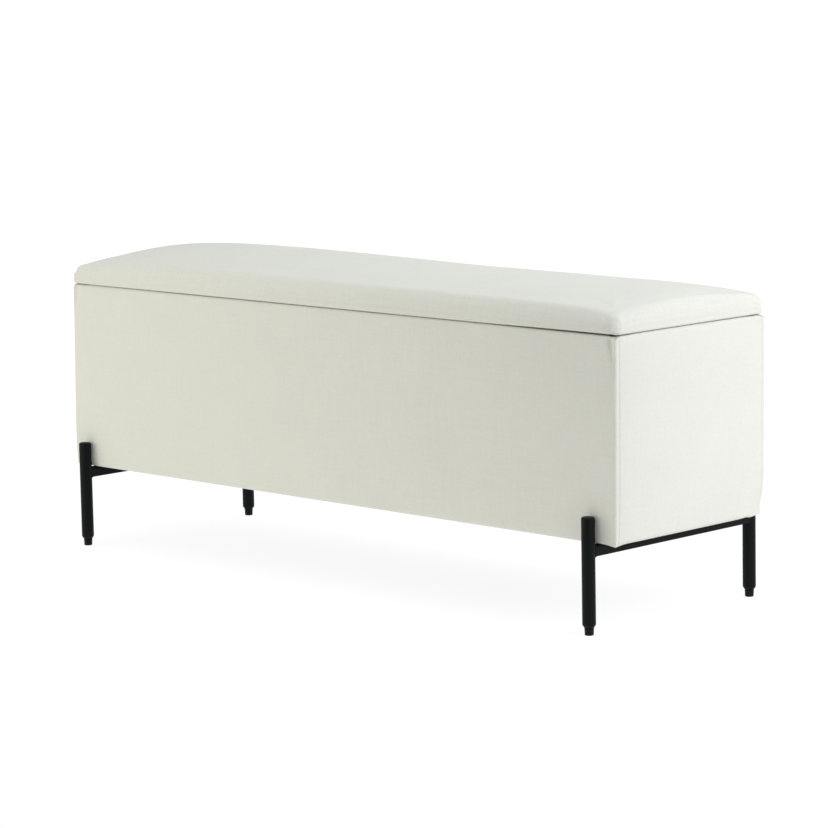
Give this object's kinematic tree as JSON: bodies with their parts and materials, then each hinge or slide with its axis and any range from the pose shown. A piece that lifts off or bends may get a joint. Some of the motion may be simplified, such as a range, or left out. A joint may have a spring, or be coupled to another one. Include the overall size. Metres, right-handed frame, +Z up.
{
  "type": "storage bench",
  "caption": "Long upholstered storage box with a crowned, rear-hinged lid on gas struts, standing on round steel legs that are joined by a crossbar under each end.",
  "frame": {"origin": "on the floor, under the middle of the bench", "axes": "+X along the bench, front faces -Y, +Z up"},
  "size_m": [1.2, 0.3812, 0.4859],
  "materials": {
    "ivory_weave": "off-white linen-look plain weave with slubs, matt",
    "inner_cloth": "dark grey non-woven cloth, matt",
    "foam": "cut polyurethane foam",
    "plywood": "sanded plywood",
    "black_steel": "black powder coat, satin",
    "black_plastic": "moulded, satin",
    "zinc_steel": "zinc-plated pressed steel",
    "chrome": "ground and hard-chromed rod",
    "rubber": "matt"
  },
  "bodies": {
    "bench": {"back_pad": "foam", "back_panel": "plywood", "bottom_panel": "plywood", "box_cover": "ivory_weave", "box_lining": "inner_cloth", "corner_block_front_left": "plywood", "corner_block_front_right": "plywood", "corner_block_rear_left": "plywood", "corner_block_rear_right": "plywood", "crossbar_left": "black_steel", "crossbar_right": "black_steel", "dust_cover": "inner_cloth", "frame_bolt_front_left": "zinc_steel", "frame_bolt_front_right": "zinc_steel", "frame_bolt_rear_left": "zinc_steel", "frame_bolt_rear_right": "zinc_steel", "front_pad": "foam", "front_panel": "plywood", "glide_front_left": "black_plastic", "glide_front_right": "black_plastic", "glide_rear_left": "black_plastic", "glide_rear_right": "black_plastic", "hinge_centre_box_leaf": "zinc_steel", "hinge_centre_pin": "zinc_steel", "hinge_left_box_leaf": "zinc_steel", "hinge_left_pin": "zinc_steel", "hinge_right_box_leaf": "zinc_steel", "hinge_right_pin": "zinc_steel", "left_pad": "foam", "left_panel": "plywood", "leg_cap_front_left": "black_plastic", "leg_cap_front_right": "black_plastic", "leg_cap_rear_left": "black_plastic", "leg_cap_rear_right": "black_plastic", "leg_front_left": "black_steel", "leg_front_right": "black_steel", "leg_rear_left": "black_steel", "leg_rear_right": "black_steel", "right_pad": "foam", "right_panel": "plywood", "strut_left_box_bracket": "zinc_steel", "strut_right_box_bracket": "zinc_steel"},
    "lid": {"hinge_centre_lid_leaf": "zinc_steel", "hinge_left_lid_leaf": "zinc_steel", "hinge_right_lid_leaf": "zinc_steel", "lid_board": "plywood", "lid_bumper_front_left": "rubber", "lid_bumper_front_right": "rubber", "lid_bumper_rear_left": "rubber", "lid_bumper_rear_right": "rubber", "lid_cover": "ivory_weave", "lid_foam": "foam", "lid_lining": "inner_cloth", "strut_left_lid_bracket": "zinc_steel", "strut_right_lid_bracket": "zinc_steel"},
    "left_strut_rod": {"strut_left_rod": "chrome"},
    "left_strut_cylinder": {"strut_left_cylinder": "black_steel"},
    "right_strut_rod": {"strut_right_rod": "chrome"},
    "right_strut_cylinder": {"strut_right_cylinder": "black_steel"}
  },
  "joints": [
    {"name": "lid_hinge", "type": "hinge", "parent": "bench", "child": "lid", "pos_m": [0, 0.1735, 0.4335], "axis": [-1, 0, 0], "range_deg": [0, 80]},
    {"name": "left_rod_pivot", "type": "hinge", "parent": "bench", "child": "left_strut_rod", "pos_m": [-0.561, 0.12087, 0.26137], "axis": [-1, 0, 0], "range_deg": [0, 40]},
    {"name": "left_cylinder_pivot", "type": "hinge", "parent": "lid", "child": "left_strut_cylinder", "pos_m": [-0.561, -0.00607, 0.421], "axis": [-1, 0, 0], "range_deg": [-40, 0]},
    {"name": "right_rod_pivot", "type": "hinge", "parent": "bench", "child": "right_strut_rod", "pos_m": [0.561, 0.12087, 0.26137], "axis": [-1, 0, 0], "range_deg": [0, 40]},
    {"name": "right_cylinder_pivot", "type": "hinge", "parent": "lid", "child": "right_strut_cylinder", "pos_m": [0.561, -0.00607, 0.421], "axis": [-1, 0, 0], "range_deg": [-40, 0]}
  ],
  "couplings": [
    {"joint": "left_rod_pivot", "follows": "lid_hinge", "ratio": 0.5},
    {"joint": "left_cylinder_pivot", "follows": "lid_hinge", "ratio": -0.5},
    {"joint": "right_rod_pivot", "follows": "lid_hinge", "ratio": 0.5},
    {"joint": "right_cylinder_pivot", "follows": "lid_hinge", "ratio": -0.5}
  ]
}
